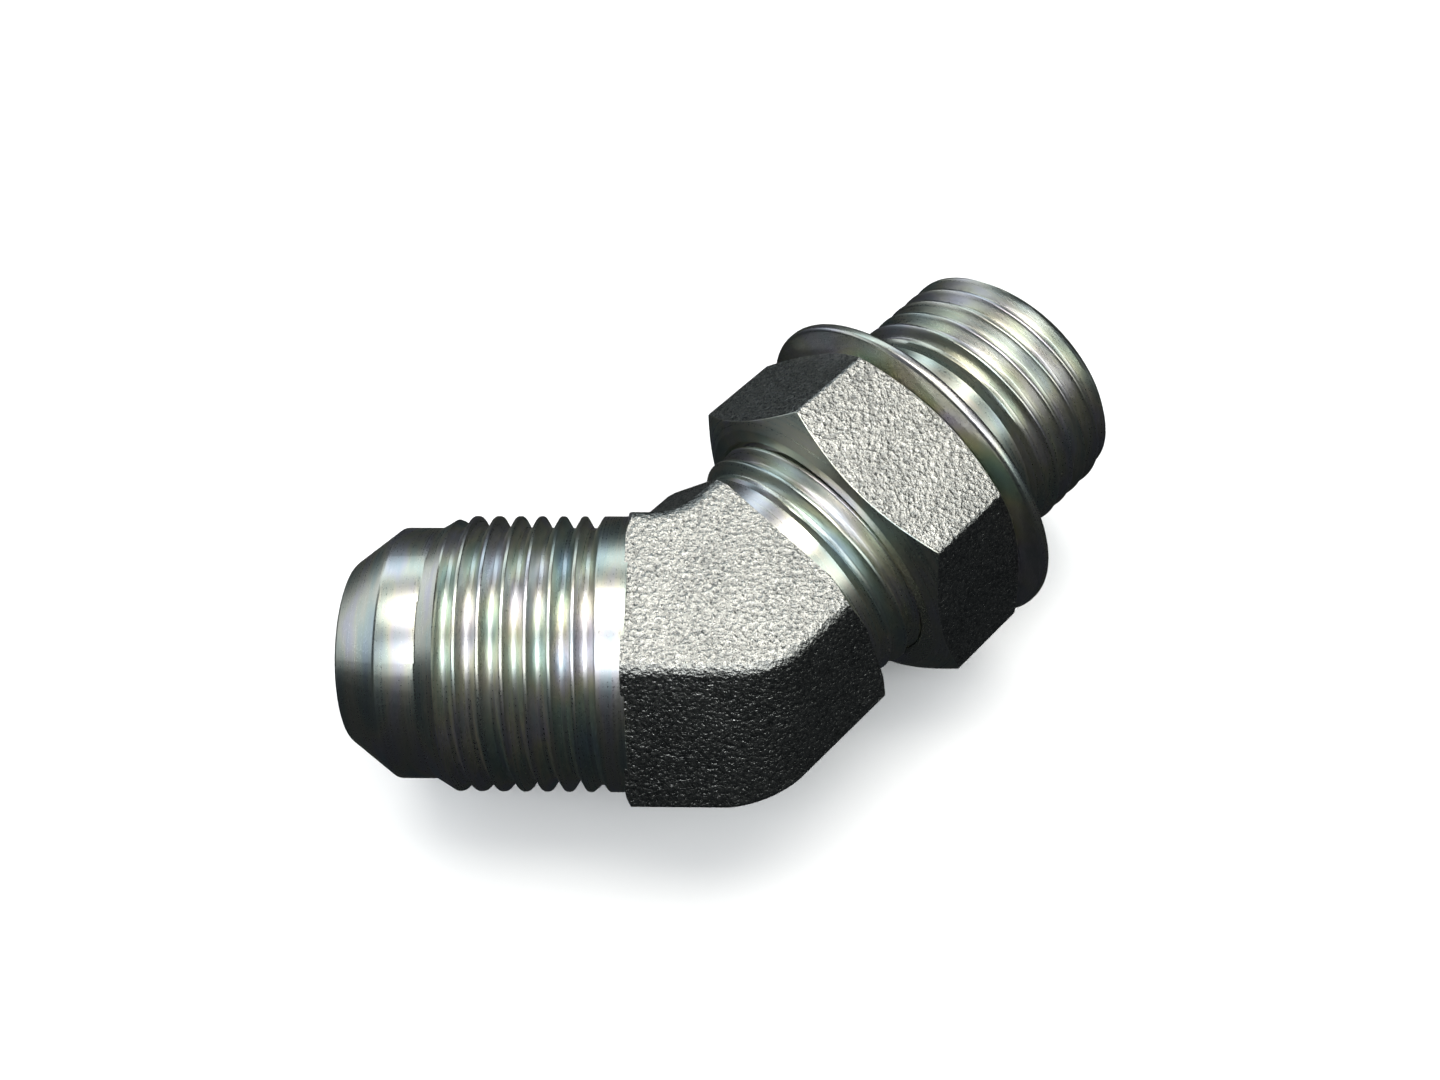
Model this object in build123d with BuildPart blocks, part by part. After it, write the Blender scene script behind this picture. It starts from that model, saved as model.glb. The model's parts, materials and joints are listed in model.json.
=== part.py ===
from build123d import *

import os
from math import ceil, cos, pi, radians, sin, tan

# 45 degree adjustable flare fitting, in millimetres: one forged and turned elbow body with a 37 degree flare
# end and a straight-thread port end, a lock nut that runs on the port stud, and the backup washer ahead of it.
# The origin is where the two arm axes cross. The flare arm points along -X, the port arm lies in the XY plane
# at the bend angle, and +Z is the normal of the bend plane.

# ---- driving dimensions: bend and fluid way ----
bend_angle = 45.0
fluid_bore_radius = 7.75
bore_run_past = 1.0
drill_point_angle = 118.0
bore_mouth_chamfer = 0.35

# ---- threads: 1-1/16-12 UN on both arms ----
thread_major_radius = 13.49
thread_pitch = 25.4 / 12
thread_depth = 1.16
thread_root_flat = 0.46
thread_half_angle = 30.0
thread_clearance = 0.12
thread_overcut = 0.2

# ---- forged body between the arms ----
body_flat_recess = 0.49
body_side_width = 15.5
flare_flat_inner = 8.8
flare_flat_outer = 6.8
port_flat_inner = 7.8
port_flat_outer = 9.7
outer_corner_radius = 10.3
outer_flat_corner_radius = 7.5
inner_corner_radius = 1.2
inner_flat_corner_radius = 6.0
body_flare_end = 7.0
body_port_end = 9.9
body_face_wall = 1.11
end_chamfer_angle = 30.0
end_chamfer_reach = 15.0
shank_root_radius = 6.0
shank_root_depth = 6.0

# ---- flare arm, distances along it from the origin ----
flare_thread_start = 9.32
flare_thread_end = 23.55
flare_land_start = 25.6
flare_land_end = 29.35
flare_land_recess = 0.03
flare_nose_wall = 1.15
flare_seat_angle = 37.0

# ---- port arm, distances along it from the origin ----
neck_recess = 0.03
neck_end = 12.0
lock_thread_start = 11.85
lock_thread_end = 27.6
undercut_recess = 0.33
port_thread_start = 35.0
port_shoulder_run = 1.1
port_thread_end = 45.5
port_end_chamfer = 1.22

# ---- lock nut ----
nut_wall = 2.51
nut_thickness = 12.4
nut_back_face = 16.2
nut_sides = 6
nut_corner_angle = 11.5
nut_face_inset = 0.8
nut_envelope_margin = 0.5
nut_mouth_relief = 0.46

# ---- backup washer ----
washer_overhang = 2.65
washer_bore_clearance = 0.15
washer_thickness = 1.1
washer_seat_gap = 0.03
washer_rim_fillet = 0.45

# ---- values worked out from the driving dimensions ----
bend = radians(bend_angle)
port_axis = Vector(cos(bend), sin(bend), 0)
port_side = Vector(-sin(bend), cos(bend), 0)
flare_axis = Vector(-1, 0, 0)
bend_normal = Vector(0, 0, 1)
thread_root_radius = thread_major_radius - thread_depth
thread_mouth_radius = thread_major_radius + thread_overcut
flank_run = thread_depth * tan(radians(thread_half_angle))
crest_flat = thread_pitch - thread_root_flat - 2 * flank_run
body_half_height = thread_major_radius - body_flat_recess
body_face_radius = thread_major_radius + body_face_wall
flare_land_radius = thread_root_radius - flare_land_recess
flare_nose_radius = fluid_bore_radius + flare_nose_wall
neck_radius = thread_root_radius - neck_recess
undercut_radius = thread_root_radius - undercut_recess
flare_seat_length = (flare_land_radius - flare_nose_radius) / tan(radians(flare_seat_angle))
flare_nose = flare_land_end + flare_seat_length
port_nose = port_thread_end + port_end_chamfer
end_chamfer_drop = end_chamfer_reach * tan(radians(end_chamfer_angle))
nut_flat_radius = thread_major_radius + nut_wall
nut_face_radius = nut_flat_radius - nut_face_inset
nut_mouth_radius = thread_major_radius + nut_mouth_relief
nut_front_face = nut_back_face + nut_thickness
washer_back_face = nut_front_face + washer_seat_gap
washer_front_face = washer_back_face + washer_thickness
washer_bore_radius = thread_major_radius + washer_bore_clearance
washer_outer_radius = nut_flat_radius + washer_overhang
turns_to_port = int((port_thread_start - lock_thread_start) / thread_pitch)
drill_point_length = fluid_bore_radius / tan(radians(drill_point_angle / 2))

# The nut's thread is the stud's ridge grown by the clearance, half a pitch on from the stud's groove.
flank_clearance = thread_clearance / cos(radians(thread_half_angle))
nut_bore_radius = thread_root_radius + thread_clearance
nut_lead_in = nut_mouth_radius - nut_bore_radius
nut_groove_root_radius = thread_major_radius + thread_clearance
nut_groove_mouth_radius = nut_bore_radius - thread_overcut
nut_groove_root = crest_flat + 2 * flank_clearance - 2 * thread_clearance * tan(radians(thread_half_angle))
nut_groove_start = lock_thread_start + thread_pitch / 2
nut_envelope_radius = nut_flat_radius / cos(pi / nut_sides) + nut_envelope_margin
nut_chamfer_depth = (nut_envelope_radius - nut_face_radius) * tan(radians(end_chamfer_angle))

# Planes: each arm's own section plane has its X along the arm, and each arm's cross plane faces outwards.
flare_section = Plane(origin=(0, 0, 0), x_dir=flare_axis, z_dir=-bend_normal)
port_section = Plane(origin=(0, 0, 0), x_dir=port_axis, z_dir=bend_normal)
flare_cross = Plane(origin=(0, 0, 0), x_dir=-bend_normal, z_dir=flare_axis)
port_cross = Plane(origin=(0, 0, 0), x_dir=-bend_normal, z_dir=port_axis)
hexagon_plane = Plane(origin=(0, 0, 0), x_dir=port_side, z_dir=port_axis)
flare_line = Axis(origin=(0, 0, 0), direction=flare_axis)
port_line = Axis(origin=(0, 0, 0), direction=port_axis)

os.makedirs("parts", exist_ok=True)


def body_outline(flare_inner, flare_outer, port_inner, port_outer, outer_radius, inner_radius):
    """Closed outline of the bent body, each side given by its distance from its arm's axis."""
    flare_outer_end = Vector(-body_flare_end, -flare_outer)
    outer_corner = Vector((port_outer - flare_outer * cos(bend)) / sin(bend), -flare_outer)
    port_outer_end = port_axis * body_port_end - port_side * port_outer
    port_inner_end = port_axis * body_port_end + port_side * port_inner
    inner_corner = Vector((flare_inner * cos(bend) - port_inner) / sin(bend), flare_inner)
    flare_inner_end = Vector(-body_flare_end, flare_inner)
    return FilletPolyline(
        flare_outer_end,
        outer_corner,
        port_outer_end,
        port_inner_end,
        inner_corner,
        flare_inner_end,
        radius=[0, outer_radius, 0, 0, inner_radius, 0],
        close=True,
    )


def thread_groove(cross_plane, start, end, root_radius, root_width, mouth_radius):
    """Right-hand helical groove with 60 degree flanks, as one cutter for each turn of the thread."""
    flank_rise = abs(mouth_radius - root_radius) * tan(radians(thread_half_angle))
    mouth_width = root_width + 2 * flank_rise
    with BuildPart() as one_turn:
        with BuildLine():
            Helix(pitch=thread_pitch, height=thread_pitch, radius=root_radius, center=(0, 0, start))
        with BuildSketch(Plane.XZ):
            with BuildLine():
                Polyline(
                    (root_radius, start - root_width / 2),
                    (mouth_radius, start - mouth_width / 2),
                    (mouth_radius, start + mouth_width / 2),
                    (root_radius, start + root_width / 2),
                    close=True,
                )
            make_face()
        sweep(is_frenet=True)
    turns = ceil((end - start) / thread_pitch)
    return [one_turn.part.moved(cross_plane.offset(turn * thread_pitch).location) for turn in range(turns)]


# ---- elbow body: one forging, turned, bored and threaded ----
flare_groove = thread_groove(
    flare_cross, flare_thread_start, flare_land_start,
    thread_root_radius, thread_root_flat, thread_mouth_radius,
)
lock_groove = thread_groove(
    port_cross, lock_thread_start, lock_thread_end + thread_pitch,
    thread_root_radius, thread_root_flat, thread_mouth_radius,
)
port_groove = thread_groove(
    port_cross, lock_thread_start + turns_to_port * thread_pitch, port_nose + thread_pitch,
    thread_root_radius, thread_root_flat, thread_mouth_radius,
)

with BuildPart() as elbow_body:
    # Half of the forging, from the parting outline up to the front flat, mirrored below the bend plane.
    with BuildSketch(Plane.XY):
        with BuildLine():
            body_outline(
                body_side_width, body_side_width, body_side_width, body_side_width,
                outer_corner_radius, inner_corner_radius,
            )
        make_face()
    with BuildSketch(Plane.XY.offset(body_half_height)):
        with BuildLine():
            body_outline(
                flare_flat_inner, flare_flat_outer, port_flat_inner, port_flat_outer,
                outer_flat_corner_radius, inner_flat_corner_radius,
            )
        make_face()
    loft(ruled=True)
    mirror(about=Plane.XY)
    # Turned chamfer that takes the forging's corners down towards each end face.
    for section, line, end in (
        (flare_section, flare_line, body_flare_end),
        (port_section, port_line, body_port_end),
    ):
        with BuildSketch(section):
            with BuildLine():
                Polyline(
                    (end, body_face_radius),
                    (end, body_face_radius + end_chamfer_reach),
                    (end - end_chamfer_drop, body_face_radius + end_chamfer_reach),
                    close=True,
                )
            make_face()
        revolve(axis=line, mode=Mode.SUBTRACT)
    # Turned profile of the flare arm: threaded shank, lead-in, land, seat cone and nose.
    with BuildSketch(flare_section):
        with BuildLine():
            Polyline(
                (body_flare_end - shank_root_depth, 0),
                (body_flare_end - shank_root_depth, shank_root_radius),
                (body_flare_end, shank_root_radius),
                (body_flare_end, thread_major_radius),
                (flare_thread_end, thread_major_radius),
                (flare_land_start, flare_land_radius),
                (flare_land_end, flare_land_radius),
                (flare_nose, flare_nose_radius),
                (flare_nose, 0),
                close=True,
            )
        make_face()
    revolve(axis=flare_line)
    # Turned profile of the port arm: neck, lock thread, undercut, port thread and end chamfer.
    with BuildSketch(port_section):
        with BuildLine():
            Polyline(
                (0, 0),
                (0, neck_radius),
                (neck_end, neck_radius),
                (neck_end + thread_major_radius - neck_radius, thread_major_radius),
                (lock_thread_end, thread_major_radius),
                (lock_thread_end + thread_major_radius - undercut_radius, undercut_radius),
                (port_thread_start, undercut_radius),
                (port_thread_start + port_shoulder_run, thread_major_radius),
                (port_thread_end, thread_major_radius),
                (port_nose, thread_major_radius - port_end_chamfer),
                (port_nose, 0),
                close=True,
            )
        make_face()
    revolve(axis=port_line)
    # Fluid way: a hole drilled along each arm, its full width run just past the crossing.
    for section, line, nose in (
        (flare_section, flare_line, flare_nose),
        (port_section, port_line, port_nose),
    ):
        with BuildSketch(section):
            with BuildLine():
                Polyline(
                    (-bore_run_past - drill_point_length, 0),
                    (-bore_run_past, fluid_bore_radius),
                    (nose - bore_mouth_chamfer, fluid_bore_radius),
                    (nose + bore_mouth_chamfer, fluid_bore_radius + 2 * bore_mouth_chamfer),
                    (nose + bore_mouth_chamfer, 0),
                    close=True,
                )
            make_face()
        revolve(axis=line, mode=Mode.SUBTRACT)
    add(flare_groove, mode=Mode.SUBTRACT)
    add(lock_groove, mode=Mode.SUBTRACT)
    add(port_groove, mode=Mode.SUBTRACT)
elbow_body.part.label = "elbow_body"
export_step(elbow_body.part, "parts/elbow_body.step")


# ---- lock nut: hexagon chamfered on both faces, threaded to run on the port stud ----
nut_groove = thread_groove(
    port_cross, nut_groove_start, nut_front_face + thread_pitch,
    nut_groove_root_radius, nut_groove_root, nut_groove_mouth_radius,
)

with BuildPart() as lock_nut:
    with BuildSketch(hexagon_plane.offset(nut_back_face)):
        RegularPolygon(
            radius=nut_flat_radius, side_count=nut_sides, major_radius=False, rotation=nut_corner_angle
        )
    extrude(amount=nut_thickness)
    # Turned envelope that chamfers the six corners on both faces.
    with BuildSketch(port_section):
        with BuildLine():
            Polyline(
                (nut_back_face, 0),
                (nut_back_face, nut_face_radius),
                (nut_back_face + nut_chamfer_depth, nut_envelope_radius),
                (nut_front_face - nut_chamfer_depth, nut_envelope_radius),
                (nut_front_face, nut_face_radius),
                (nut_front_face, 0),
                close=True,
            )
        make_face()
    revolve(axis=port_line, mode=Mode.INTERSECT)
    # Tapping bore with a lead-in at each face.
    with BuildSketch(port_section):
        with BuildLine():
            Polyline(
                (nut_back_face - nut_lead_in, 0),
                (nut_back_face - nut_lead_in, nut_bore_radius + 2 * nut_lead_in),
                (nut_back_face + nut_lead_in, nut_bore_radius),
                (nut_front_face - nut_lead_in, nut_bore_radius),
                (nut_front_face + nut_lead_in, nut_bore_radius + 2 * nut_lead_in),
                (nut_front_face + nut_lead_in, 0),
                close=True,
            )
        make_face()
    revolve(axis=port_line, mode=Mode.SUBTRACT)
    add(nut_groove, mode=Mode.SUBTRACT)
lock_nut.part.label = "lock_nut"
export_step(lock_nut.part, "parts/lock_nut.step")


# ---- backup washer: flat ring with a rounded rim, loose on the stud ahead of the nut ----
with BuildPart() as backup_washer:
    with BuildSketch(port_section):
        with BuildLine():
            Polyline(
                (washer_back_face, washer_bore_radius),
                (washer_back_face, washer_outer_radius),
                (washer_front_face, washer_outer_radius),
                (washer_front_face, washer_bore_radius),
                close=True,
            )
        make_face()
        rim_corners = vertices().group_by(Axis.Y)[-1]
        fillet(rim_corners, radius=washer_rim_fillet)
    revolve(axis=port_line)
backup_washer.part.label = "backup_washer"
export_step(backup_washer.part, "parts/backup_washer.step")
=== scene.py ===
"""Looks of a 45 degree adjustable flare fitting: elbow, lock nut and backup washer in bright zinc plate.

Meshes are shaped in millimetres on an arm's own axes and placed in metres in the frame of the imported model.
"""

import json
import logging
from dataclasses import dataclass
from enum import Enum
from math import atan2, ceil, cos, degrees, floor, hypot, inf, pi, radians, tan

import bmesh
import bpy
from mathutils import Matrix, Vector


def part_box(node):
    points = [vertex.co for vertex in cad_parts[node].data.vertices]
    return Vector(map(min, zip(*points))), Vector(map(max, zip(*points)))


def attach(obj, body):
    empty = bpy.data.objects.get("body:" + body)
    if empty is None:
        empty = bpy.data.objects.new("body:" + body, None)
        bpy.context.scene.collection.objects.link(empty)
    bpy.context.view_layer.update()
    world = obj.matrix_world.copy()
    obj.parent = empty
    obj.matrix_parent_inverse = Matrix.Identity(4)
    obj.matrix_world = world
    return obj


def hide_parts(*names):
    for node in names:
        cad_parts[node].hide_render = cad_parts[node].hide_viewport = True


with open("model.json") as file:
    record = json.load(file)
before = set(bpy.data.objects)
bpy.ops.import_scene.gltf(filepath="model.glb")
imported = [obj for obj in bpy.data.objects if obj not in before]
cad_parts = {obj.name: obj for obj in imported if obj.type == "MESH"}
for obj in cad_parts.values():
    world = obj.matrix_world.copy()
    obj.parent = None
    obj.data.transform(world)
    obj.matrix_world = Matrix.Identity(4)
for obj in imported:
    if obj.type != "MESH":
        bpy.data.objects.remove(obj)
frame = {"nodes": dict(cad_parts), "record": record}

MM = 0.001
MERGE = 1e-4
FULL_TURN = 2 * pi
SHARP_ANGLE = radians(32)
CORNER_SEGMENTS = 3
SPARE_TURNS = 2
NOISE_RANGE = (0.3, 0.7)

logging.basicConfig(level=logging.INFO, format="%(name)s: %(message)s")
log = logging.getLogger("flare_fitting")

Station = tuple[float, float]
Colour = tuple[float, float, float]
Place = tuple[float, float, float]


class Skin(Enum):
    """The finishes a face may have; each value is the face's material index on its piece."""

    TURNED = 0
    BLASTED = 1


class Limb(Enum):
    """The two arms of the elbow, by the name of the bore mount on each."""

    FLARE = "flare_bore"
    PORT = "port_bore"


@dataclass(frozen=True)
class Arm:
    """One arm of the elbow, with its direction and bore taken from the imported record.

    On an arm's own axes Z runs out along the arm and X is square to the bend plane.
    """

    direction: Vector
    bore_radius: float

    @classmethod
    def of_record(cls, limb: Limb) -> "Arm":
        """Read one arm from the record's mounts.

        Args:
            limb: which arm to read.

        Returns:
            The arm, with its bore radius in millimetres.
        """
        mounts = frame["record"]["mounts"]
        mount = next(m for m in mounts if m["name"] == limb.value)
        return cls(Vector(mount["axis"]).normalized(), mount["dims"]["r_mm"])

    def placement(self) -> Matrix:
        """Work out where the arm's own axes lie.

        Returns:
            The matrix from the arm's millimetres to the frame's metres.
        """
        across = Vector((0, 0, -1))
        side = self.direction.cross(across)
        turn = Matrix((across, side, self.direction)).transposed()
        return turn.to_4x4() @ Matrix.Scale(MM, 4)


@dataclass(frozen=True)
class Turning:
    """A turned outline: stations of distance along the axis and radius, with straight lines between them."""

    stations: tuple[Station, ...]

    def radius_at(self, along: float) -> float:
        """Return the radius of the outline at a distance along the axis.

        Args:
            along: the distance along the axis.

        Returns:
            The radius there, held level past either end.
        """
        first, last = self.stations[0], self.stations[-1]
        if along <= first[0]:
            return first[1]
        for (z0, r0), (z1, r1) in zip(self.stations, self.stations[1:]):
            if along <= z1 and z1 > z0:
                return r0 + (r1 - r0) * (along - z0) / (z1 - z0)
        return last[1]


@dataclass(frozen=True)
class ThreadForm:
    """A 60 degree thread, wound right-handed from a valley at zero angle on the arm's X axis."""

    first_valley: float
    major_radius: float = 13.49
    depth: float = 1.16
    root_flat: float = 0.46
    pitch: float = 25.4 / 12
    flank_angle: float = radians(30)
    softness: float = 0.07
    steps: int = 120
    flank_cuts: int = 3
    run_out: float = radians(130)
    last_valley: float = inf
    run_in: float = radians(70)

    def strip(self, bm: bmesh.types.BMesh) -> None:
        """Draw one pitch of the thread's outline, from crest to crest, with softened corners.

        Args:
            bm: the empty mesh that takes the outline.
        """
        root = self.major_radius - self.depth
        half_root = self.root_flat / 2
        half_mouth = half_root + self.depth * tan(self.flank_angle)
        outline = (
            (-self.pitch / 2, self.major_radius),
            (-half_mouth, self.major_radius),
            (-half_root, root),
            (half_root, root),
            (half_mouth, self.major_radius),
            (self.pitch / 2, self.major_radius),
        )
        verts = [bm.verts.new((radius, 0, self.first_valley + along)) for along, radius in outline]
        for pair in zip(verts, verts[1:]):
            bm.edges.new(pair)
        bmesh.ops.bevel(
            bm, geom=verts[1:-1], offset=self.softness, segments=CORNER_SEGMENTS,
            profile=0.5, affect="VERTICES", material=-1,
        )
        flanks = [e for e in bm.edges if e.calc_length() > self.depth / 2]
        bmesh.ops.subdivide_edges(bm, edges=flanks, cuts=self.flank_cuts)

    def wind(self, bm: bmesh.types.BMesh, start: float, end: float) -> None:
        """Wind the outline into a helical skin that covers a stretch of the axis.

        Args:
            bm: the empty mesh that takes the skin.
            start: where the stretch begins.
            end: where the stretch ends.
        """
        self.strip(bm)
        before = floor((start - self.first_valley) / self.pitch) - SPARE_TURNS
        turns = ceil((end - self.first_valley) / self.pitch) + SPARE_TURNS - before
        bmesh.ops.translate(bm, verts=bm.verts, vec=(0, 0, before * self.pitch))
        bmesh.ops.spin(
            bm,
            geom=bm.verts[:] + bm.edges[:],
            cent=(0, 0, 0),
            axis=(0, 0, 1),
            dvec=(0, 0, self.pitch / self.steps),
            angle=FULL_TURN,
            steps=self.steps,
            use_merge=False,
        )
        first_turn = bm.verts[:] + bm.edges[:] + bm.faces[:]
        for turn in range(1, turns):
            copied = bmesh.ops.duplicate(bm, geom=first_turn)["geom"]
            verts = [v for v in copied if isinstance(v, bmesh.types.BMVert)]
            bmesh.ops.translate(bm, verts=verts, vec=(0, 0, turn * self.pitch))
        bmesh.ops.remove_doubles(bm, verts=bm.verts, dist=MERGE)

    def fade_at(self, across: float, side: float, along: float) -> float:
        """Return how deep the thread is cut at a point, fading to 0 where the groove runs out at either end.

        Args:
            across: the point's place on the arm's X axis.
            side: the point's place on the arm's Y axis.
            along: the point's place on the arm's Z axis.

        Returns:
            The share of the full depth.
        """
        angle = atan2(side, across)
        turn = round((along - self.first_valley) / self.pitch - angle / FULL_TURN)
        wound = angle + turn * FULL_TURN
        last = (self.last_valley - self.first_valley) / self.pitch * FULL_TURN
        share = min(max(min(wound / self.run_out, (last - wound) / self.run_in), 0.0), 1.0)
        return share * share * (3 - 2 * share)


class Workshop:
    """Bench operations that several pieces share."""

    @staticmethod
    def cut_at(bm: bmesh.types.BMesh, along: float, keep: int = 0) -> list[bmesh.types.BMEdge]:
        """Cut a mesh by a plane square to the axis.

        Args:
            bm: the mesh to cut.
            along: where the plane stands.
            keep: 1 drops what lies below the plane, -1 what lies above it, 0 drops nothing.

        Returns:
            The edges on the plane.
        """
        cut = bmesh.ops.bisect_plane(
            bm,
            geom=bm.verts[:] + bm.edges[:] + bm.faces[:],
            dist=MERGE / 10,
            plane_co=(0, 0, along),
            plane_no=(0, 0, 1),
            clear_outer=keep < 0,
            clear_inner=keep > 0,
        )
        return [e for e in cut["geom_cut"] if isinstance(e, bmesh.types.BMEdge)]

    @staticmethod
    def carry_on(
        bm: bmesh.types.BMesh, loop: list[bmesh.types.BMEdge], stations: tuple[Station, ...]
    ) -> list[bmesh.types.BMEdge]:
        """Carry a turned skin on from an open edge through more stations.

        Args:
            bm: the mesh that holds the skin.
            loop: the edges of the open end.
            stations: distance along the axis and radius of each ring to add.

        Returns:
            The edges of the new open end.
        """
        for along, radius in stations:
            added = bmesh.ops.extrude_edge_only(bm, edges=loop)["geom"]
            for vert in (v for v in added if isinstance(v, bmesh.types.BMVert)):
                scale = radius / hypot(vert.co.x, vert.co.y)
                vert.co = (vert.co.x * scale, vert.co.y * scale, along)
            loop = [e for e in added if isinstance(e, bmesh.types.BMEdge)]
        return loop

    @staticmethod
    def turned(outline: tuple[Station, ...], softness: float, steps: int = 160) -> bmesh.types.BMesh:
        """Turn a closed solid of revolution.

        Args:
            outline: stations round the section; one that starts and ends on the axis makes a bar,
                any other a ring.
            softness: how far each corner off the axis is rounded.
            steps: how many flats make the full turn.

        Returns:
            The solid, on the arm's own axes.
        """
        bm = bmesh.new()
        verts = [bm.verts.new((radius, 0, along)) for along, radius in outline]
        ring = outline[0][1] > 0
        pairs = list(zip(verts, verts[1:])) + ([(verts[-1], verts[0])] if ring else [])
        for pair in pairs:
            bm.edges.new(pair)
        corners = verts if ring else verts[1:-1]
        if softness:
            bmesh.ops.bevel(
                bm, geom=corners, offset=softness, segments=CORNER_SEGMENTS,
                profile=0.5, affect="VERTICES", material=-1,
            )
        bmesh.ops.spin(
            bm,
            geom=bm.verts[:] + bm.edges[:],
            cent=(0, 0, 0),
            axis=(0, 0, 1),
            angle=FULL_TURN,
            steps=steps,
            use_merge=True,
        )
        bmesh.ops.remove_doubles(bm, verts=bm.verts, dist=MERGE)
        bmesh.ops.recalc_face_normals(bm, faces=bm.faces)
        return bm

    @staticmethod
    def to_object(bm: bmesh.types.BMesh, name: str, placement: Matrix) -> bpy.types.Object:
        """Place a finished mesh in the frame and link it to the scene.

        Args:
            bm: the mesh, which is freed.
            name: the name of the new object.
            placement: the matrix from the mesh's own axes to the frame.

        Returns:
            The new object, at the origin and untransformed.
        """
        bmesh.ops.transform(bm, matrix=placement, verts=bm.verts)
        mesh = bpy.data.meshes.new(name)
        bm.to_mesh(mesh)
        bm.free()
        piece = bpy.data.objects.new(name, mesh)
        bpy.context.scene.collection.objects.link(piece)
        return piece

    @staticmethod
    def machine(piece: bpy.types.Object, tool: bpy.types.Object, operation: str) -> None:
        """Cut a piece with a tool, or keep what the two share, and put the tool away.

        Args:
            piece: the object to cut.
            tool: the closed object that cuts it, which is removed.
            operation: DIFFERENCE or INTERSECT.
        """
        cut = piece.modifiers.new(tool.name, "BOOLEAN")
        cut.object = tool
        cut.operation = operation
        cut.solver = "EXACT"
        Workshop.settle(piece)
        mesh = tool.data
        bpy.data.objects.remove(tool)
        bpy.data.meshes.remove(mesh)

    @staticmethod
    def settle(piece: bpy.types.Object) -> None:
        """Apply a piece's modifiers to its mesh.

        Args:
            piece: the object whose modifiers are applied.
        """
        bpy.context.view_layer.update()
        graph = bpy.context.evaluated_depsgraph_get()
        finished = bpy.data.meshes.new_from_object(piece.evaluated_get(graph))
        rough = piece.data
        piece.modifiers.clear()
        piece.data = finished
        bpy.data.meshes.remove(rough)
        finished.name = piece.name

    @staticmethod
    def smooth(piece: bpy.types.Object, weighted: bool) -> None:
        """Shade a piece smooth between its sharp edges.

        Args:
            piece: the object to shade.
            weighted: whether large faces keep their own direction beside small ones.
        """
        mesh = piece.data
        mesh.polygons.foreach_set("use_smooth", [True] * len(mesh.polygons))
        mesh.set_sharp_from_angle(angle=SHARP_ANGLE)
        if weighted:
            normals = piece.modifiers.new("weighted_normals", "WEIGHTED_NORMAL")
            normals.keep_sharp = True
            Workshop.settle(piece)


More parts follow.
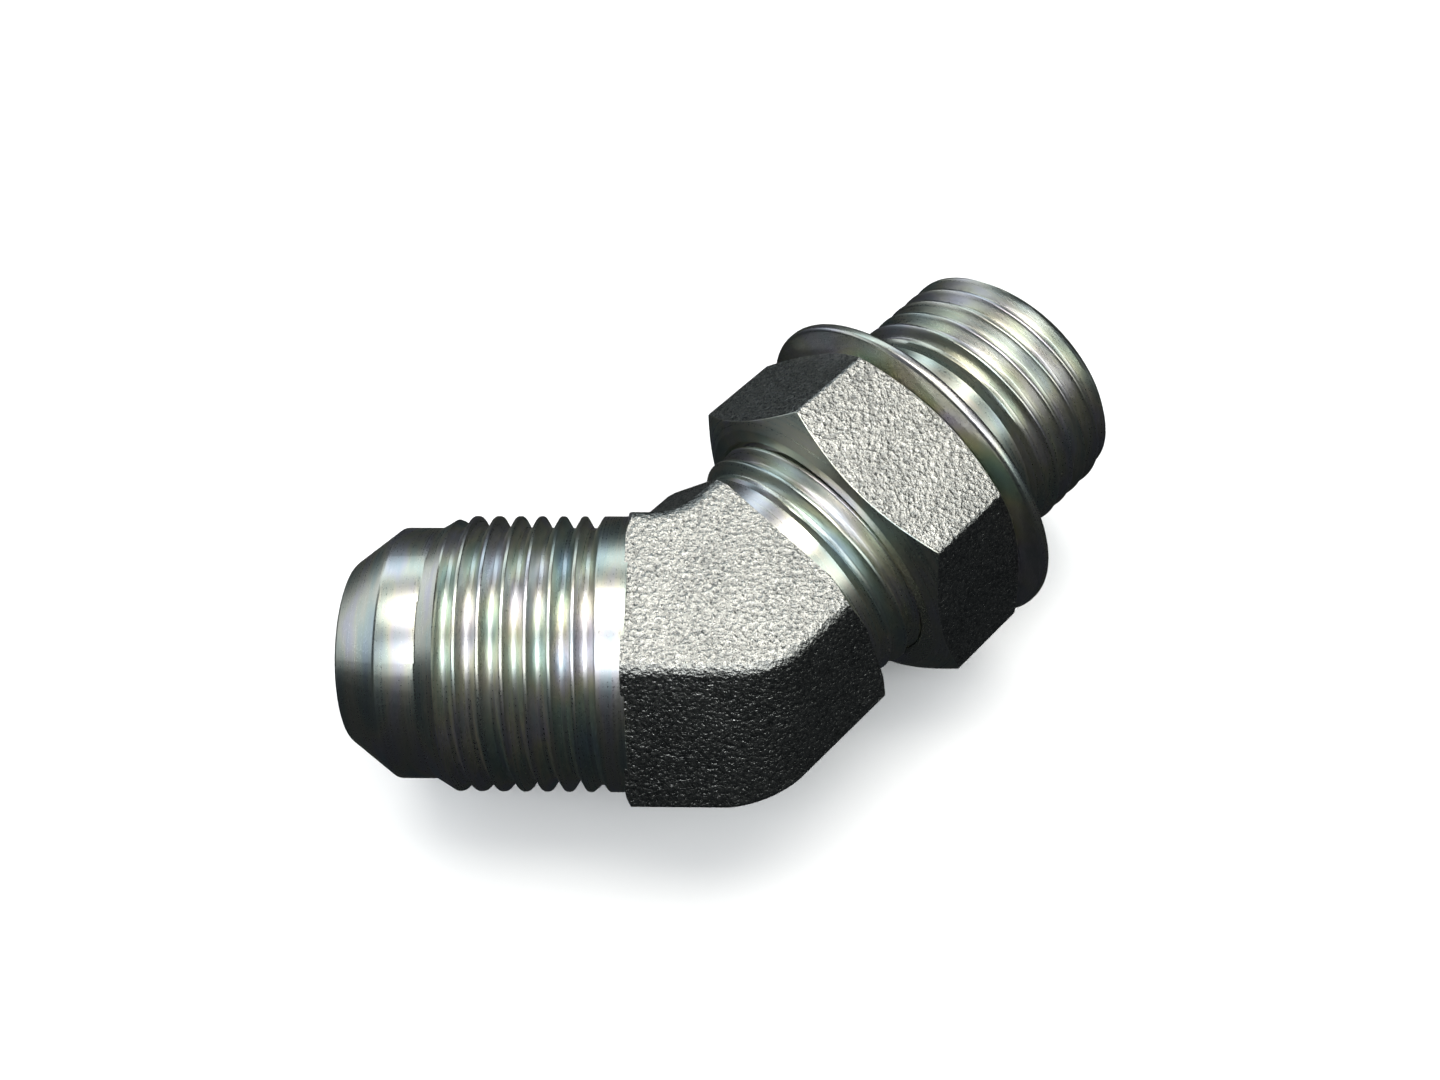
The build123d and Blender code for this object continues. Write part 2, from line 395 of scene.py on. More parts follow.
class NodeBench:
    """Short calls for laying out one material's nodes."""

    def __init__(self, name: str) -> None:
        """Start a material that holds one Principled shader.

        Args:
            name: the material's name.
        """
        self.material = bpy.data.materials.new(name)
        self.material.use_nodes = True
        self.tree = self.material.node_tree
        self.shader = self.tree.nodes["Principled BSDF"]

    def add(self, kind: str, **settings: object) -> bpy.types.Node:
        """Add a node.

        Args:
            kind: the node's type without its ShaderNode prefix.
            settings: properties to set on the node.

        Returns:
            The new node.
        """
        node = self.tree.nodes.new("ShaderNode" + kind)
        for key, value in settings.items():
            setattr(node, key, value)
        return node

    def link(self, output: bpy.types.NodeSocket, node: bpy.types.Node, socket: str | int) -> None:
        """Join an output to an input of a node.

        Args:
            output: where the link starts.
            node: the node it leads to.
            socket: the input's name or number.
        """
        self.tree.links.new(output, node.inputs[socket])

    def place(self, turn: float, scale: Place) -> bpy.types.NodeSocket:
        """Object coordinates in millimetres, turned about Z and then scaled.

        Args:
            turn: the angle of the piece's long axis from X.
            scale: repeats for each millimetre, along and across.

        Returns:
            The vector output.
        """
        coordinates = self.add("TexCoord")
        turned = self.add("Mapping")
        turned.inputs["Rotation"].default_value = (0, 0, -turn)
        turned.inputs["Scale"].default_value = (1 / MM, 1 / MM, 1 / MM)
        self.link(coordinates.outputs["Object"], turned, "Vector")
        scaled = self.add("Mapping")
        scaled.inputs["Scale"].default_value = scale
        self.link(turned.outputs["Vector"], scaled, "Vector")
        return scaled.outputs["Vector"]

    def noise(
        self, vector: bpy.types.NodeSocket, scale: float, detail: float = 2.0
    ) -> bpy.types.NodeSocket:
        """Add a noise pattern and return its value output.

        Args:
            vector: the coordinates it reads.
            scale: its scale on those coordinates.
            detail: how many finer layers it has.

        Returns:
            The pattern's value.
        """
        node = self.add("TexNoise")
        node.inputs["Scale"].default_value = scale
        node.inputs["Detail"].default_value = detail
        self.link(vector, node, "Vector")
        return node.outputs["Fac"]

    def ramp(
        self, value: bpy.types.NodeSocket, stops: tuple[tuple[float, Colour], ...]
    ) -> bpy.types.NodeSocket:
        """Turn a value into a colour.

        Args:
            value: the value to read.
            stops: the places and colours of the ramp's stops.

        Returns:
            The colour output.
        """
        node = self.add("ValToRGB")
        self.link(value, node, "Fac")
        elements = node.color_ramp.elements
        while len(elements) < len(stops):
            elements.new(1.0)
        for element, (position, colour) in zip(elements, stops):
            element.position = position
            element.color = (*colour, 1)
        return node.outputs["Color"]

    def spread(self, value: bpy.types.NodeSocket, low: float, high: float) -> bpy.types.NodeSocket:
        """Map a pattern's middle range onto a range of its own.

        Args:
            value: the pattern.
            low: the result for its dark parts.
            high: the result for its bright parts.

        Returns:
            The mapped value.
        """
        node = self.add("MapRange")
        self.link(value, node, "Value")
        darkest, brightest = NOISE_RANGE
        ranges = (("From Min", darkest), ("From Max", brightest), ("To Min", low), ("To Max", high))
        for socket, number in ranges:
            node.inputs[socket].default_value = number
        return node.outputs["Result"]

    def bump(
        self, height: bpy.types.NodeSocket, depth: float, strength: float,
        under: bpy.types.NodeSocket | None = None,
    ) -> bpy.types.NodeSocket:
        """Add a bump layer.

        Args:
            height: the height pattern.
            depth: the pattern's full height in millimetres.
            strength: how much of it shows.
            under: the normal of the layer below, if there is one.

        Returns:
            The normal output.
        """
        node = self.add("Bump")
        node.inputs["Strength"].default_value = strength
        node.inputs["Distance"].default_value = depth * MM
        self.link(height, node, "Height")
        if under is not None:
            self.link(under, node, "Normal")
        return node.outputs["Normal"]

    def weigh(
        self, first: bpy.types.NodeSocket, second: bpy.types.NodeSocket, share: float
    ) -> bpy.types.NodeSocket:
        """Blend two values.

        Args:
            first: one value.
            second: the other value.
            share: how much of the second one shows.

        Returns:
            The blended value.
        """
        node = self.add("Mix", data_type="FLOAT")
        node.inputs["Factor"].default_value = share
        self.link(first, node, 2)
        self.link(second, node, 3)
        return node.outputs[0]


@dataclass(frozen=True)
class BlastedZinc:
    """Bright zinc over a shot-blasted forging: a coarse pebbled grain with bright flecks."""

    name: str = "blasted_zinc"
    grain: float = 2.3
    grain_depth: float = 0.22
    pit: float = 5.5
    pit_depth: float = 0.06
    blotch: float = 0.16
    blotch_share: float = 0.25
    dull: Colour = (0.20, 0.205, 0.20)
    bright: Colour = (0.72, 0.715, 0.67)
    tone_stops: tuple[float, float, float] = (0.30, 0.52, 0.72)
    roughness: tuple[float, float] = (0.22, 0.38)

    def material(self) -> bpy.types.Material:
        """Build the material.

        Returns:
            The finished material.
        """
        bench = NodeBench(self.name)
        vector = bench.place(0.0, (1, 1, 1))
        grain = bench.noise(vector, self.grain, 3.0)
        pits = bench.noise(vector, self.pit)
        blotches = bench.noise(vector, self.blotch, 3.0)
        shader = bench.shader
        shader.inputs["Metallic"].default_value = 1.0
        tone = bench.weigh(grain, blotches, self.blotch_share)
        middle = tuple((dull + bright) / 2 for dull, bright in zip(self.dull, self.bright))
        stops = tuple(zip(self.tone_stops, (self.dull, middle, self.bright)))
        bench.link(bench.ramp(tone, stops), shader, "Base Color")
        bench.link(bench.spread(pits, *self.roughness), shader, "Roughness")
        coarse = bench.bump(grain, self.grain_depth, 1.0)
        fine = bench.bump(pits, self.pit_depth, 1.0, coarse)
        bench.link(fine, shader, "Normal")
        return bench.material


@dataclass(frozen=True)
class TurnedZinc:
    """Clear blue zinc on a turned surface: fine tool rings and a passivate film that drifts in tint."""

    name: str
    axis_turn: float
    ring_pitch: float = 0.12
    ring_depth: float = 0.0025
    ring_share: float = 0.12
    stretch: float = 0.02
    drift_rate: Place = (0.42, 0.10, 0.10)
    speck: float = 6.0
    speck_strength: float = 0.8
    roughness: tuple[float, float] = (0.24, 0.38)
    tint_stops: tuple[float, ...] = (0.28, 0.40, 0.50, 0.60, 0.72)
    tints: tuple[Colour, ...] = (
        (0.50, 0.58, 0.62),
        (0.60, 0.68, 0.62),
        (0.76, 0.75, 0.64),
        (0.72, 0.70, 0.74),
        (0.56, 0.66, 0.70),
    )

    def material(self) -> bpy.types.Material:
        """Build the material.

        Returns:
            The finished material.
        """
        bench = NodeBench(self.name)
        ring_rate = (1 / self.ring_pitch, self.stretch, self.stretch)
        rings = bench.noise(bench.place(self.axis_turn, ring_rate), 1.0, 3.0)
        drift = bench.noise(bench.place(self.axis_turn, self.drift_rate), 1.0)
        specks = bench.noise(bench.place(self.axis_turn, (1, 1, 1)), self.speck)
        shader = bench.shader
        shader.inputs["Metallic"].default_value = 1.0
        tint = bench.weigh(drift, rings, self.ring_share)
        bench.link(bench.ramp(tint, tuple(zip(self.tint_stops, self.tints))), shader, "Base Color")
        bench.link(bench.spread(bench.weigh(rings, specks, 0.5), *self.roughness), shader, "Roughness")
        grooves = bench.bump(rings, self.ring_depth, 1.0)
        bench.link(bench.bump(specks, self.ring_depth, self.speck_strength, grooves), shader, "Normal")
        return bench.material


@dataclass(frozen=True)
class Wardrobe:
    """The finished materials that the pieces share."""

    blasted: bpy.types.Material
    flare_turned: bpy.types.Material
    port_turned: bpy.types.Material

    @classmethod
    def for_arms(cls, flare: Arm, port: Arm) -> "Wardrobe":
        """Make every material, with tool rings square to each arm's axis.

        Args:
            flare: the flare arm.
            port: the port arm.

        Returns:
            The set of materials.
        """
        turns = [atan2(arm.direction.y, arm.direction.x) for arm in (flare, port)]
        return cls(
            BlastedZinc().material(),
            TurnedZinc("turned_zinc_flare", turns[0]).material(),
            TurnedZinc("turned_zinc_port", turns[1]).material(),
        )


@dataclass(frozen=True)
class ThreadedArm:
    """A turned and threaded arm: a threaded skin with a plain turned end, bored through."""

    name: str
    arm: Arm
    thread: ThreadForm
    skin: Turning
    nose: tuple[Station, ...]
    groove_runs_out: bool
    wall_at_root: float = 1.0
    mouth_chamfer: float = 0.35

    def build(self, turned: bpy.types.Material) -> bpy.types.Object:
        """Make the arm and dress it.

        Args:
            turned: the finish of the turned skin.

        Returns:
            The finished piece.
        """
        root, tip = self.skin.stations[0][0], self.skin.stations[-1][0]
        bm = bmesh.new()
        self.thread.wind(bm, root, tip)
        Workshop.cut_at(bm, root, 1)
        for along, _ in self.skin.stations[1:-1]:
            Workshop.cut_at(bm, along)
        tip_loop = Workshop.cut_at(bm, tip, -1)
        root_loop = [e for e in bm.edges if all(abs(v.co.z - root) < MERGE for v in e.verts)]
        self.turn_down(bm)
        bore, chamfer = self.arm.bore_radius, self.mouth_chamfer
        nose_face = self.nose[-1][0] if self.nose else tip
        mouth = (
            (nose_face, bore + chamfer),
            (nose_face - chamfer, bore),
            (root, bore),
        )
        bore_loop = Workshop.carry_on(bm, tip_loop, self.nose + mouth)
        root_loop = Workshop.carry_on(bm, root_loop, ((root, bore + self.wall_at_root),))
        bmesh.ops.bridge_loops(bm, edges=bore_loop + root_loop)
        bmesh.ops.recalc_face_normals(bm, faces=bm.faces)
        piece = Workshop.to_object(bm, self.name, self.arm.placement())
        piece.data.materials.append(turned)
        Workshop.smooth(piece, False)
        return piece

    def turn_down(self, bm: bmesh.types.BMesh) -> None:
        """Bring the wound thread down to the turned outline, and fade the groove where it runs out.

        Args:
            bm: the wound skin.
        """
        major = self.thread.major_radius
        for vert in bm.verts:
            across, side, along = vert.co
            radius = hypot(across, side)
            cut = self.thread.fade_at(across, side, along) if self.groove_runs_out else 1.0
            wanted = min(major - cut * (major - radius), self.skin.radius_at(along))
            vert.co = (across * wanted / radius, side * wanted / radius, along)


@dataclass(frozen=True)
class Forging:
    """The bent forged body: six sided, drawn in towards its two flats, faced and chamfered at both ends."""

    flare: Arm
    port: Arm
    half_height: float = 13.0
    width: float = 15.5
    flare_flat: tuple[float, float] = (8.8, 6.8)
    port_flat: tuple[float, float] = (7.8, 9.7)
    outer_radii: tuple[float, float] = (10.3, 7.5)
    inner_radii: tuple[float, float] = (1.2, 6.0)
    flare_end: float = 7.0
    port_end: float = 9.9
    flat_rounding: float = 0.9
    parting_rounding: float = 0.35
    spare: float = 4.0
    face_radius: float = 14.6
    chamfer_angle: float = radians(30)
    corner_steps: int = 12
    flat_segments: int = 5
    parting_segments: int = 3
    tool_reach: float = 20.0
    tool_overrun: float = 1.0
    drill_steps: int = 96
    finish_angle: float = radians(33)
    bore_run_past: float = 1.0
    drill_point_angle: float = radians(118)

    def outline(
        self, bm: bmesh.types.BMesh, height: float, flare: tuple[float, float], port: tuple[float, float],
        outer_radius: float, inner_radius: float,
    ) -> list[bmesh.types.BMEdge]:
        """Draw one closed outline of the bent body, with its two bend corners rounded.

        Args:
            bm: the mesh that takes it.
            height: its height above the bend plane.
            flare: inner and outer distance of its sides from the flare arm's axis.
            port: inner and outer distance of its sides from the port arm's axis.
            outer_radius: the radius outside the bend.
            inner_radius: the radius inside the bend.

        Returns:
            The outline's edges.
        """
        along = self.port.direction
        side = Vector((-along.y, along.x, 0))
        flare_x = -self.flare_end - self.spare
        port_s = self.port_end + self.spare
        corners = (
            Vector((flare_x, -flare[1], 0)),
            Vector(((port[1] - flare[1] * along.x) / along.y, -flare[1], 0)),
            along * port_s - side * port[1],
            along * port_s + side * port[0],
            Vector(((flare[0] * along.x - port[0]) / along.y, flare[0], 0)),
            Vector((flare_x, flare[0], 0)),
        )
        lift = Vector((0, 0, height))
        verts = [bm.verts.new(corner + lift) for corner in corners]
        for pair in zip(verts, verts[1:] + verts[:1]):
            bm.edges.new(pair)
        half_bend = atan2(along.y, along.x) / 2
        for vert, radius in ((verts[1], outer_radius), (verts[4], inner_radius)):
            bmesh.ops.bevel(
                bm, geom=[vert], offset=radius * tan(half_bend), segments=self.corner_steps,
                profile=0.5, affect="VERTICES", material=-1,
            )
        return [e for e in bm.edges if all(abs(v.co.z - height) < MERGE for v in e.verts)]

    def build(self, finishes: Wardrobe) -> bpy.types.Object:
        """Make the forging and dress it.

        Args:
            finishes: the shared materials.

        Returns:
            The finished piece.
        """
        bm = bmesh.new()
        both = (self.width, self.width)
        parting = self.outline(bm, 0.0, both, both, self.outer_radii[0], self.inner_radii[0])
        flat = self.outline(
            bm, self.half_height, self.flare_flat, self.port_flat, self.outer_radii[1], self.inner_radii[1]
        )
        bmesh.ops.bridge_loops(bm, edges=parting + flat)
        bmesh.ops.contextual_create(bm, geom=flat)
        bmesh.ops.mirror(
            bm, geom=bm.verts[:] + bm.edges[:] + bm.faces[:], matrix=Matrix(), merge_dist=MERGE, axis="Z"
        )
        bmesh.ops.remove_doubles(bm, verts=bm.verts, dist=MERGE)
        bmesh.ops.recalc_face_normals(bm, faces=bm.faces)
        self.round_edges(bm, self.half_height, self.flat_rounding, self.flat_segments)
        self.round_edges(bm, 0.0, self.parting_rounding, self.parting_segments)
        self.face_off(bm, self.flare, self.flare_end)
        self.face_off(bm, self.port, self.port_end)
        bmesh.ops.recalc_face_normals(bm, faces=bm.faces)
        piece = Workshop.to_object(bm, "forging", Matrix.Scale(MM, 4))
        for arm, end in ((self.flare, self.flare_end), (self.port, self.port_end)):
            self.chamfer(piece, arm, end)
        for arm in (self.flare, self.port):
            self.drill(piece, arm)
        self.dress(piece, finishes)
        return piece

    @staticmethod
    def round_edges(bm: bmesh.types.BMesh, height: float, rounding: float, segments: int) -> None:
        """Round the closed edges that lie at a height above and below the bend plane.

        Args:
            bm: the forging's mesh.
            height: how far the edges stand from the bend plane.
            rounding: how far the rounding reaches from the edge.
            segments: how many flats make it.
        """
        level = [e for e in bm.edges if abs(e.verts[0].co.z - e.verts[1].co.z) < MERGE]
        edges = [e for e in level if abs(abs(e.verts[0].co.z) - height) < MERGE]
        bmesh.ops.bevel(
            bm, geom=edges, offset=rounding, segments=segments, profile=0.5, affect="EDGES",
            offset_type="OFFSET", clamp_overlap=True, material=-1,
        )

    @staticmethod
    def face_off(bm: bmesh.types.BMesh, arm: Arm, end: float) -> None:
        """Cut the forging square to an arm and close the cut.

        Args:
            bm: the forging's mesh.
            arm: the arm on that side.
            end: the distance of the cut from the origin.
        """
        cut = bmesh.ops.bisect_plane(
            bm,
            geom=bm.verts[:] + bm.edges[:] + bm.faces[:],
            dist=MERGE / 10,
            plane_co=arm.direction * end,
            plane_no=arm.direction,
            clear_outer=True,
        )
        rim = [e for e in cut["geom_cut"] if isinstance(e, bmesh.types.BMEdge)]
        bmesh.ops.contextual_create(bm, geom=rim)

    def chamfer(self, piece: bpy.types.Object, arm: Arm, end: float) -> None:
        """Turn the corners of an end face down to a chamfer.

        Args:
            piece: the forging.
            arm: the arm on that side.
            end: the distance of the end face from the origin.
        """
        reach, overrun = self.tool_reach, self.tool_overrun
        outline = (
            (end + overrun, 0.0),
            (end + overrun, self.face_radius - overrun / tan(self.chamfer_angle)),
            (end - reach * tan(self.chamfer_angle), self.face_radius + reach),
            (-2 * reach, self.face_radius + reach),
            (-2 * reach, 0.0),
        )
        tool = Workshop.to_object(Workshop.turned(outline, 0.0), "chamfer_tool", arm.placement())
        Workshop.machine(piece, tool, "INTERSECT")

    def drill(self, piece: bpy.types.Object, arm: Arm) -> None:
        """Drill an arm's bore to just past the bend.

        Args:
            piece: the forging.
            arm: the arm to bore.
        """
        point = arm.bore_radius / tan(self.drill_point_angle / 2)
        outline = (
            (-self.bore_run_past - point, 0.0),
            (-self.bore_run_past, arm.bore_radius),
            (3 * self.width, arm.bore_radius),
            (3 * self.width, 0.0),
        )
        tool = Workshop.to_object(Workshop.turned(outline, 0.0, self.drill_steps), "drill", arm.placement())
        Workshop.machine(piece, tool, "DIFFERENCE")

    def dress(self, piece: bpy.types.Object, finishes: Wardrobe) -> None:
        """Give the skin the blasted finish, and the end faces and bore the turned one.

        Args:
            piece: the forging.
            finishes: the shared materials.
        """
        piece.data.materials.clear()
        piece.data.materials.append(finishes.port_turned)
        piece.data.materials.append(finishes.blasted)
        for face in piece.data.polygons:
            centre, normal = face.center / MM, face.normal
            faced = any(
                normal.angle(arm.direction) < self.finish_angle and centre.dot(arm.direction) > end / 3
                for arm, end in ((self.flare, self.flare_end), (self.port, self.port_end))
            )
            bored = any(
                (centre - arm.direction * centre.dot(arm.direction)).length < arm.bore_radius + MERGE
                and centre.dot(arm.direction) > -self.bore_run_past
                for arm in (self.flare, self.port)
            )
            face.material_index = (Skin.TURNED if faced or bored else Skin.BLASTED).value
        Workshop.smooth(piece, True)


@dataclass(frozen=True)
class LockNut:
    """The hexagon lock nut: blasted flats, turned 30 degree chamfers and a tapped bore."""

    arm: Arm
    stud_thread: ThreadForm
    back_face: float
    front_face: float
    across_flats: float = 32.0
    corner_angle: float = radians(41.5)
    face_radius: float = 15.2
    chamfer_angle: float = radians(30)
    corner_rounding: float = 0.3
    edge_rounding: float = 0.1
    mouth_radius: float = 13.95
    mouth_wall: float = 1.0
    clearance: float = 0.12
    sides: int = 6
    envelope_margin: float = 0.5
    tap_overrun: float = 0.8
    widest_mouth: float = 0.5
    square_limit: float = 0.1

    def build(self, finishes: Wardrobe) -> bpy.types.Object:
        """Make the nut and dress it.

        Args:
            finishes: the shared materials.

        Returns:
            The finished piece.
        """
        bm = bmesh.new()
        corner_radius = self.across_flats / 2 / cos(pi / self.sides)
        turn = Matrix.Rotation(self.corner_angle - pi / 2, 4, "Z")
        bmesh.ops.create_circle(
            bm, cap_ends=True, segments=self.sides, radius=corner_radius,
            matrix=Matrix.Translation((0, 0, self.back_face)) @ turn,
        )
        grown = bmesh.ops.extrude_face_region(bm, geom=bm.faces[:])["geom"]
        bmesh.ops.translate(
            bm, verts=[v for v in grown if isinstance(v, bmesh.types.BMVert)],
            vec=(0, 0, self.front_face - self.back_face),
        )
        long_edges = [e for e in bm.edges if abs(e.verts[0].co.z - e.verts[1].co.z) > MERGE]
        bmesh.ops.bevel(
            bm, geom=long_edges, offset=self.corner_rounding, segments=4,
            profile=0.5, affect="EDGES", material=-1,
        )
        bmesh.ops.recalc_face_normals(bm, faces=bm.faces)
        piece = Workshop.to_object(bm, "lock_nut_hexagon", self.arm.placement())
        self.turn_chamfers(piece, corner_radius)
        soften = piece.modifiers.new("edges", "BEVEL")
        soften.width = self.edge_rounding * MM
        soften.segments = 2
        soften.limit_method = "ANGLE"
        soften.angle_limit = radians(22)
        Workshop.settle(piece)
        self.tap(piece)
        self.dress(piece, finishes)
        return piece

    def turn_chamfers(self, piece: bpy.types.Object, corner_radius: float) -> None:
        """Turn the six corners down to a chamfer on both faces.

        Args:
            piece: the hexagon.
            corner_radius: the radius out to the hexagon's corners.
        """
        outer = corner_radius + self.envelope_margin
        drop = (outer - self.face_radius) * tan(self.chamfer_angle)
        back, front = self.back_face, self.front_face
        outline = (
            (back, 0.0),
            (back, self.face_radius),
            (back + drop, outer),
            (front - drop, outer),
            (front, self.face_radius),
            (front, 0.0),
        )
        tool = Workshop.to_object(Workshop.turned(outline, 0.0), "chamfer_tool", self.arm.placement())
        Workshop.machine(piece, tool, "INTERSECT")

    def tap(self, piece: bpy.types.Object) -> None:
        """Cut the threaded bore, clear of the stud's thread all round, with a lead-in at each face.

        Args:
            piece: the hexagon.
        """
        stud = self.stud_thread
        sides = stud.root_flat + 2 * self.clearance * tan(stud.flank_angle)
        form = ThreadForm(
            first_valley=stud.first_valley,
            major_radius=stud.major_radius + self.clearance,
            root_flat=sides - 2 * self.clearance / cos(stud.flank_angle),
            steps=96,
            flank_cuts=1,
        )
        bm = bmesh.new()
        low, high = self.back_face - self.tap_overrun, self.front_face + self.tap_overrun
        form.wind(bm, low, high)
        low_loop = Workshop.cut_at(bm, low, 1)
        high_loop = Workshop.cut_at(bm, high, -1)
        for vert in bm.verts:
            across, side, along = vert.co
            inside = min(along - self.back_face, self.front_face - along)
            radius = hypot(across, side)
            wanted = max(radius, self.mouth_radius - max(inside, -self.widest_mouth))
            vert.co = (across * wanted / radius, side * wanted / radius, along)
        low_loop = [e for e in bm.edges if all(abs(v.co.z - low) < MERGE for v in e.verts)]
        for loop in (low_loop, high_loop):
            bmesh.ops.contextual_create(bm, geom=loop)
        bmesh.ops.recalc_face_normals(bm, faces=bm.faces)
        tool = Workshop.to_object(bm, "tap", self.arm.placement())
        Workshop.machine(piece, tool, "DIFFERENCE")

    def dress(self, piece: bpy.types.Object, finishes: Wardrobe) -> None:
        """Give the six flats the blasted finish and everything else the turned one.

        Args:
            piece: the nut.
            finishes: the shared materials.
        """
        piece.data.materials.clear()
        piece.data.materials.append(finishes.port_turned)
        piece.data.materials.append(finishes.blasted)
        axis = self.arm.direction
        for face in piece.data.polygons:
            radius = (face.center - axis * face.center.dot(axis)).length / MM
            square = abs(face.normal.dot(axis)) < self.square_limit
            outside = radius > self.mouth_radius + self.mouth_wall
            face.material_index = (Skin.BLASTED if square and outside else Skin.TURNED).value
        Workshop.smooth(piece, True)


@dataclass(frozen=True)
class BackupWasher:
    """The flat backup washer, with its rim rounded."""

    arm: Arm
    back_face: float
    front_face: float
    outer_radius: float = 18.65
    bore_radius: float = 13.64
    rim_rounding: float = 0.4
    bore_rounding: float = 0.08
    rounding_segments: int = 5
    steps: int = 192

    def build(self, turned: bpy.types.Material) -> bpy.types.Object:
        """Make the washer and dress it.

        Args:
            turned: the finish of the washer.

        Returns:
            The finished piece.
        """
        bm = bmesh.new()
        outline = (
            (self.back_face, self.bore_radius),
            (self.back_face, self.outer_radius),
            (self.front_face, self.outer_radius),
            (self.front_face, self.bore_radius),
        )
        verts = [bm.verts.new((radius, 0, along)) for along, radius in outline]
        for pair in zip(verts, verts[1:] + verts[:1]):
            bm.edges.new(pair)
        rim, bore = verts[1:3], [verts[0], verts[3]]
        for corners, rounding in ((rim, self.rim_rounding), (bore, self.bore_rounding)):
            bmesh.ops.bevel(
                bm, geom=corners, offset=rounding, segments=self.rounding_segments,
                profile=0.5, affect="VERTICES", material=-1,
            )
        bmesh.ops.spin(
            bm, geom=bm.verts[:] + bm.edges[:], cent=(0, 0, 0), axis=(0, 0, 1),
            angle=FULL_TURN, steps=self.steps, use_merge=True,
        )
        bmesh.ops.remove_doubles(bm, verts=bm.verts, dist=MERGE)
        bmesh.ops.recalc_face_normals(bm, faces=bm.faces)
        piece = Workshop.to_object(bm, "backup_washer_ring", self.arm.placement())
        piece.data.materials.append(turned)
        Workshop.smooth(piece, True)
        return piece


@dataclass(frozen=True)
class SoftBox:
    """One studio light: a soft panel that faces a point."""

    name: str
    place: Place
    aim: Place
    width: float
    height: float
    watts: float
    colour: Colour = (1.0, 1.0, 1.0)

    def hang(self) -> bpy.types.Object:
        """Hang the light in the studio.

        Returns:
            The light's object.
        """
        panel = bpy.data.lights.new(self.name, "AREA")
        panel.shape = "RECTANGLE"
        panel.size = self.width
        panel.size_y = self.height
        panel.energy = self.watts
        panel.color = self.colour
        light = bpy.data.objects.new(self.name, panel)
        light.location = self.place
        light.rotation_mode = "QUATERNION"
        light.rotation_quaternion = (Vector(self.aim) - Vector(self.place)).to_track_quat("-Z", "Y")
        bpy.context.scene.collection.objects.link(light)
        return light


@dataclass(frozen=True)
class Studio:
    """The pale floor, the soft lights and the camera."""

    floor_height: float
    floor_size: float = 3.0
    floor_colour: Colour = (0.93, 0.93, 0.93)
    floor_roughness: float = 0.9
    floor_cells: int = 8
    ambient: Colour = (0.013, 0.015, 0.017)
    eye: Place = (0.00415, -0.04729, 0.11629)
    aim: Place = (0.00136, 0.01259, 0.0)
    roll: float = radians(-2.15)
    lens: float = 31.72
    sensor_width: float = 36.0

    def lay_floor(self) -> None:
        """Lay the floor that the object rests on."""
        bm = bmesh.new()
        bmesh.ops.create_grid(
            bm, x_segments=self.floor_cells, y_segments=self.floor_cells, size=self.floor_size,
            matrix=Matrix.Translation((0, 0, self.floor_height)),
        )
        sheet = Workshop.to_object(bm, "floor", Matrix())
        bench = NodeBench("floor_paper")
        bench.shader.inputs["Base Color"].default_value = (*self.floor_colour, 1)
        bench.shader.inputs["Roughness"].default_value = self.floor_roughness
        sheet.data.materials.append(bench.material)
        sheet.visible_glossy = False

    def light(self) -> None:
        """Light the object with soft panels in a dim room."""
        world = bpy.data.worlds.new("room")
        world.use_nodes = True
        background = world.node_tree.nodes["Background"]
        background.inputs["Color"].default_value = (*self.ambient, 1)
        background.inputs["Strength"].default_value = 1.0
        bpy.context.scene.world = world
        for box in (
            SoftBox("overhead", (0.0, 0.13, 0.50), (0, 0, 0), 0.46, 0.24, 1.65, (1.0, 0.98, 0.93)),
            SoftBox("front", (0.0, -0.21, 0.46), (0, 0, 0), 0.44, 0.20, 0.95, (0.93, 0.97, 1.0)),
            SoftBox("port_side", (0.40, -0.13, 0.44), (0, 0, 0), 0.30, 0.30, 0.55, (0.95, 1.0, 0.98)),
            SoftBox("nose_side", (-0.50, 0.18, 0.07), (0, 0, 0), 0.50, 0.26, 0.42, (0.86, 0.93, 1.0)),
            SoftBox("window", (-0.16, 0.42, 0.26), (0, 0, 0), 0.50, 0.18, 0.45, (0.80, 0.93, 1.0)),
        ):
            box.hang()
        wash = SoftBox("floor_wash", (0.0, 0.0, 0.90), (0, 0, 0), 1.6, 1.6, 9.5).hang()
        wash.visible_glossy = False

    def set_camera(self) -> None:
        """Stand the camera where it looks down on the front flat."""
        lens = bpy.data.cameras.new("camera")
        lens.lens = self.lens
        lens.sensor_width = self.sensor_width
        lens.clip_start = 0.01
        lens.clip_end = 20.0
        camera = bpy.data.objects.new("camera", lens)
        camera.location = self.eye
        camera.rotation_mode = "QUATERNION"
        facing = (Vector(self.aim) - Vector(self.eye)).to_track_quat("-Z", "Y")
        camera.rotation_quaternion = facing @ Matrix.Rotation(self.roll, 3, "Z").to_quaternion()
        bpy.context.scene.collection.objects.link(camera)
        bpy.context.scene.camera = camera
        bpy.context.scene.view_settings.view_transform = "Standard"


@dataclass(frozen=True)
class FlareSizes:
    """Sizes of the flare arm in millimetres, with places measured along it from the bend."""

    root: float = 6.7
    first_valley: float = 9.32
    last_valley: float = 23.75
    thread_end: float = 23.55
    land_start: float = 25.6
    land_end: float = 29.35
    land_margin: float = 0.3
    land_radius: float = 12.3
    nose_radius: float = 8.9


@dataclass(frozen=True)
class PortSizes:
    """Sizes of the port arm in millimetres, with places measured along it from the bend."""

    root: float = 9.6
    neck_radius: float = 12.3
    neck_end: float = 12.0
    first_valley: float = 11.85
    lock_thread_end: float = 27.6
    undercut_radius: float = 12.0
    port_thread_start: float = 35.0
    shoulder_run: float = 1.1
    port_thread_end: float = 45.5
    end_chamfer: float = 1.12


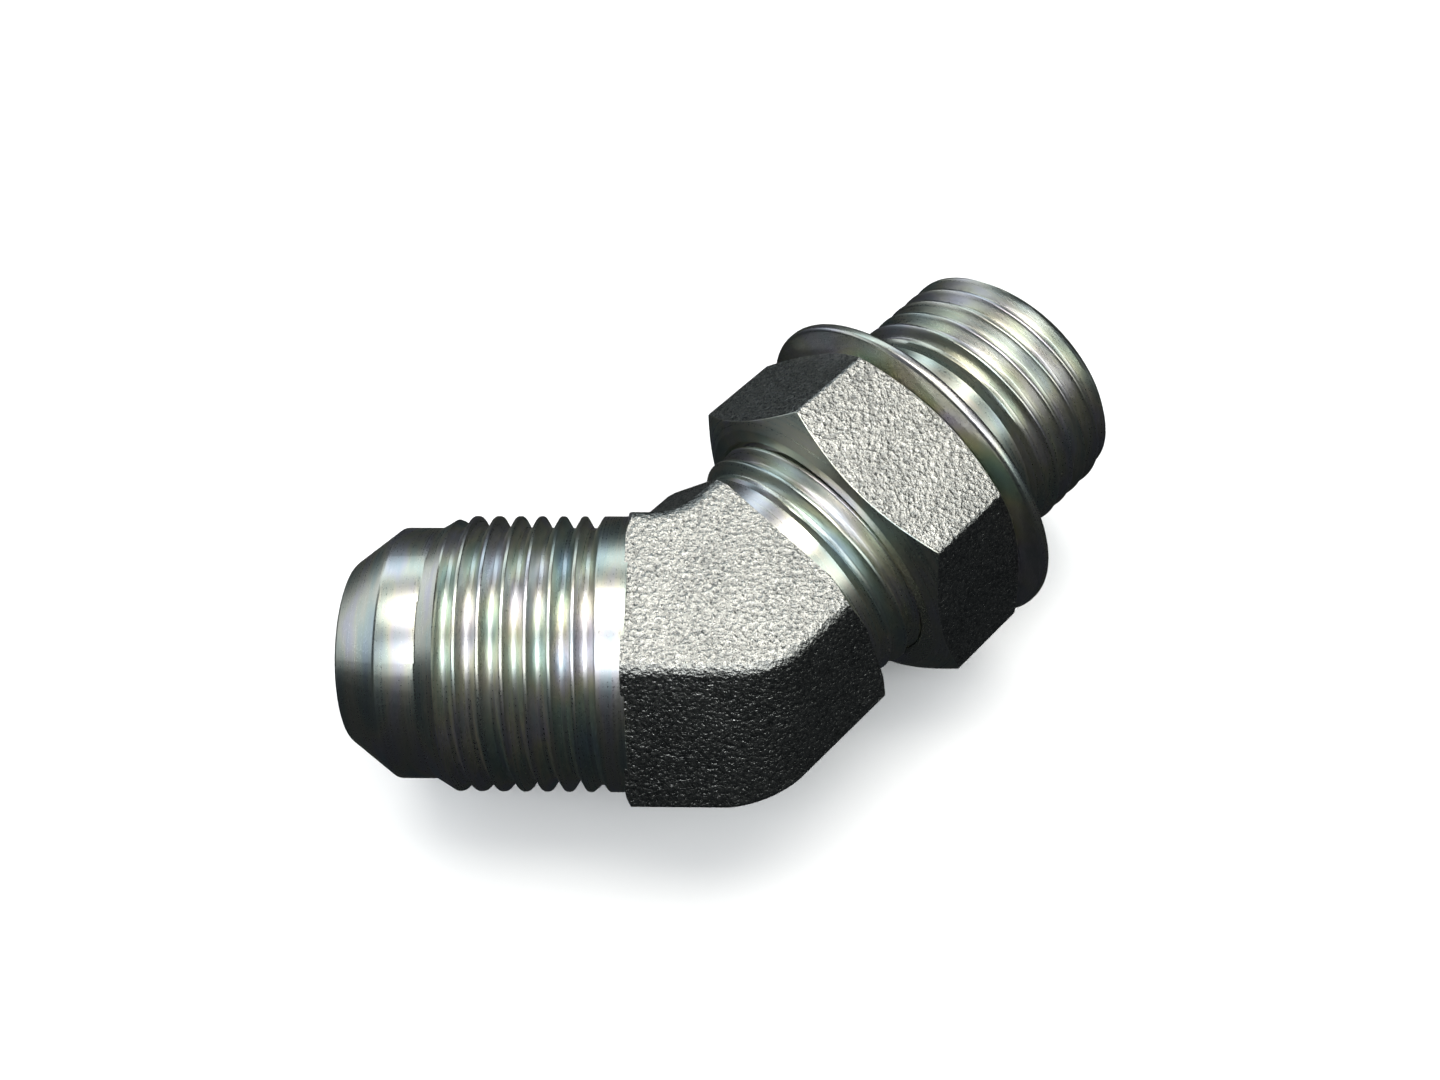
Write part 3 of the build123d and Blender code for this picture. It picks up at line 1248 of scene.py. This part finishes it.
@dataclass(frozen=True)
class FlareFitting:
    """The whole fitting: forging and both arms on the elbow, then the nut and washer on the port arm."""

    flare: Arm
    port: Arm
    def flare_shank(self) -> ThreadedArm:
        """Lay out the flare arm: threaded shank, land, 37 degree seat and nose.

        Returns:
            The arm, ready to build.
        """
        size = FlareSizes()
        thread = ThreadForm(first_valley=size.first_valley, last_valley=size.last_valley)
        nose_face = -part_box("elbow_body")[0].x / MM
        land, nose = size.land_radius, size.nose_radius
        skin = Turning((
            (size.root, thread.major_radius),
            (size.thread_end, thread.major_radius),
            (size.land_start, land),
            (size.land_start + size.land_margin, land),
        ))
        rounded_nose = (
            (size.land_end - 0.20, land),
            (size.land_end - 0.02, land - 0.03),
            (size.land_end + 0.15, land - 0.14),
            (nose_face - 0.25, nose + 0.19),
            (nose_face - 0.07, nose + 0.02),
            (nose_face, nose - 0.15),
        )
        return ThreadedArm("flare_shank", self.flare, thread, skin, rounded_nose, True)

    def port_stud(self) -> ThreadedArm:
        """Lay out the port arm: neck, lock thread, undercut, port thread and end chamfer.

        Returns:
            The arm, ready to build.
        """
        size = PortSizes()
        thread = ThreadForm(first_valley=size.first_valley)
        major, neck, undercut = thread.major_radius, size.neck_radius, size.undercut_radius
        chamfer = size.end_chamfer
        skin = Turning((
            (size.root, neck),
            (size.neck_end, neck),
            (size.neck_end + major - neck, major),
            (size.lock_thread_end, major),
            (size.lock_thread_end + major - undercut, undercut),
            (size.port_thread_start, undercut),
            (size.port_thread_start + size.shoulder_run, major),
            (size.port_thread_end, major),
            (size.port_thread_end + chamfer, major - chamfer),
            (size.port_thread_end + chamfer + 0.10, major - chamfer - 0.18),
        ))
        return ThreadedArm("port_stud", self.port, thread, skin, (), False)

    def build(self, finishes: Wardrobe) -> None:
        """Make every piece, hang it on its body and report it.

        Args:
            finishes: the shared materials.
        """
        stud = self.port_stud()
        elbow = (
            (Forging(self.flare, self.port).build(finishes), "forged_steel"),
            (self.flare_shank().build(finishes.flare_turned), "forged_steel"),
            (stud.build(finishes.port_turned), "forged_steel"),
        )
        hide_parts("elbow_body")
        nut = LockNut(self.port, stud.thread, *self.reach("lock_nut")).build(finishes)
        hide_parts("lock_nut")
        washer = BackupWasher(self.port, *self.reach("backup_washer")).build(finishes.port_turned)
        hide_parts("backup_washer")
        for piece, slot, body in (
            *((piece, slot, "elbow") for piece, slot in elbow),
            (nut, "nut_steel", "nut"),
            (washer, "washer_steel", "washer"),
        ):
            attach(piece, body)
            log.info("%s: %d faces, rides on %s", piece.name, len(piece.data.polygons), body)

    def reach(self, node: str) -> tuple[float, float]:
        """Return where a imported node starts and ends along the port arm, in millimetres.

        Args:
            node: the node's name.

        Returns:
            The lowest and highest distance along the arm.
        """
        along = [vert.co.dot(self.port.direction) / MM for vert in frame["nodes"][node].data.vertices]
        return min(along), max(along)


def main() -> None:
    """Build the fitting and its studio."""
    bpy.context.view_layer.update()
    flare, port = Arm.of_record(Limb.FLARE), Arm.of_record(Limb.PORT)
    log.info("bend of %.1f degrees", degrees(pi - flare.direction.angle(port.direction)))
    FlareFitting(flare, port).build(Wardrobe.for_arms(flare, port))
    studio = Studio(floor_height=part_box("backup_washer")[0].z)
    studio.lay_floor()
    studio.light()
    studio.set_camera()


if __name__ == "__main__":
    main()
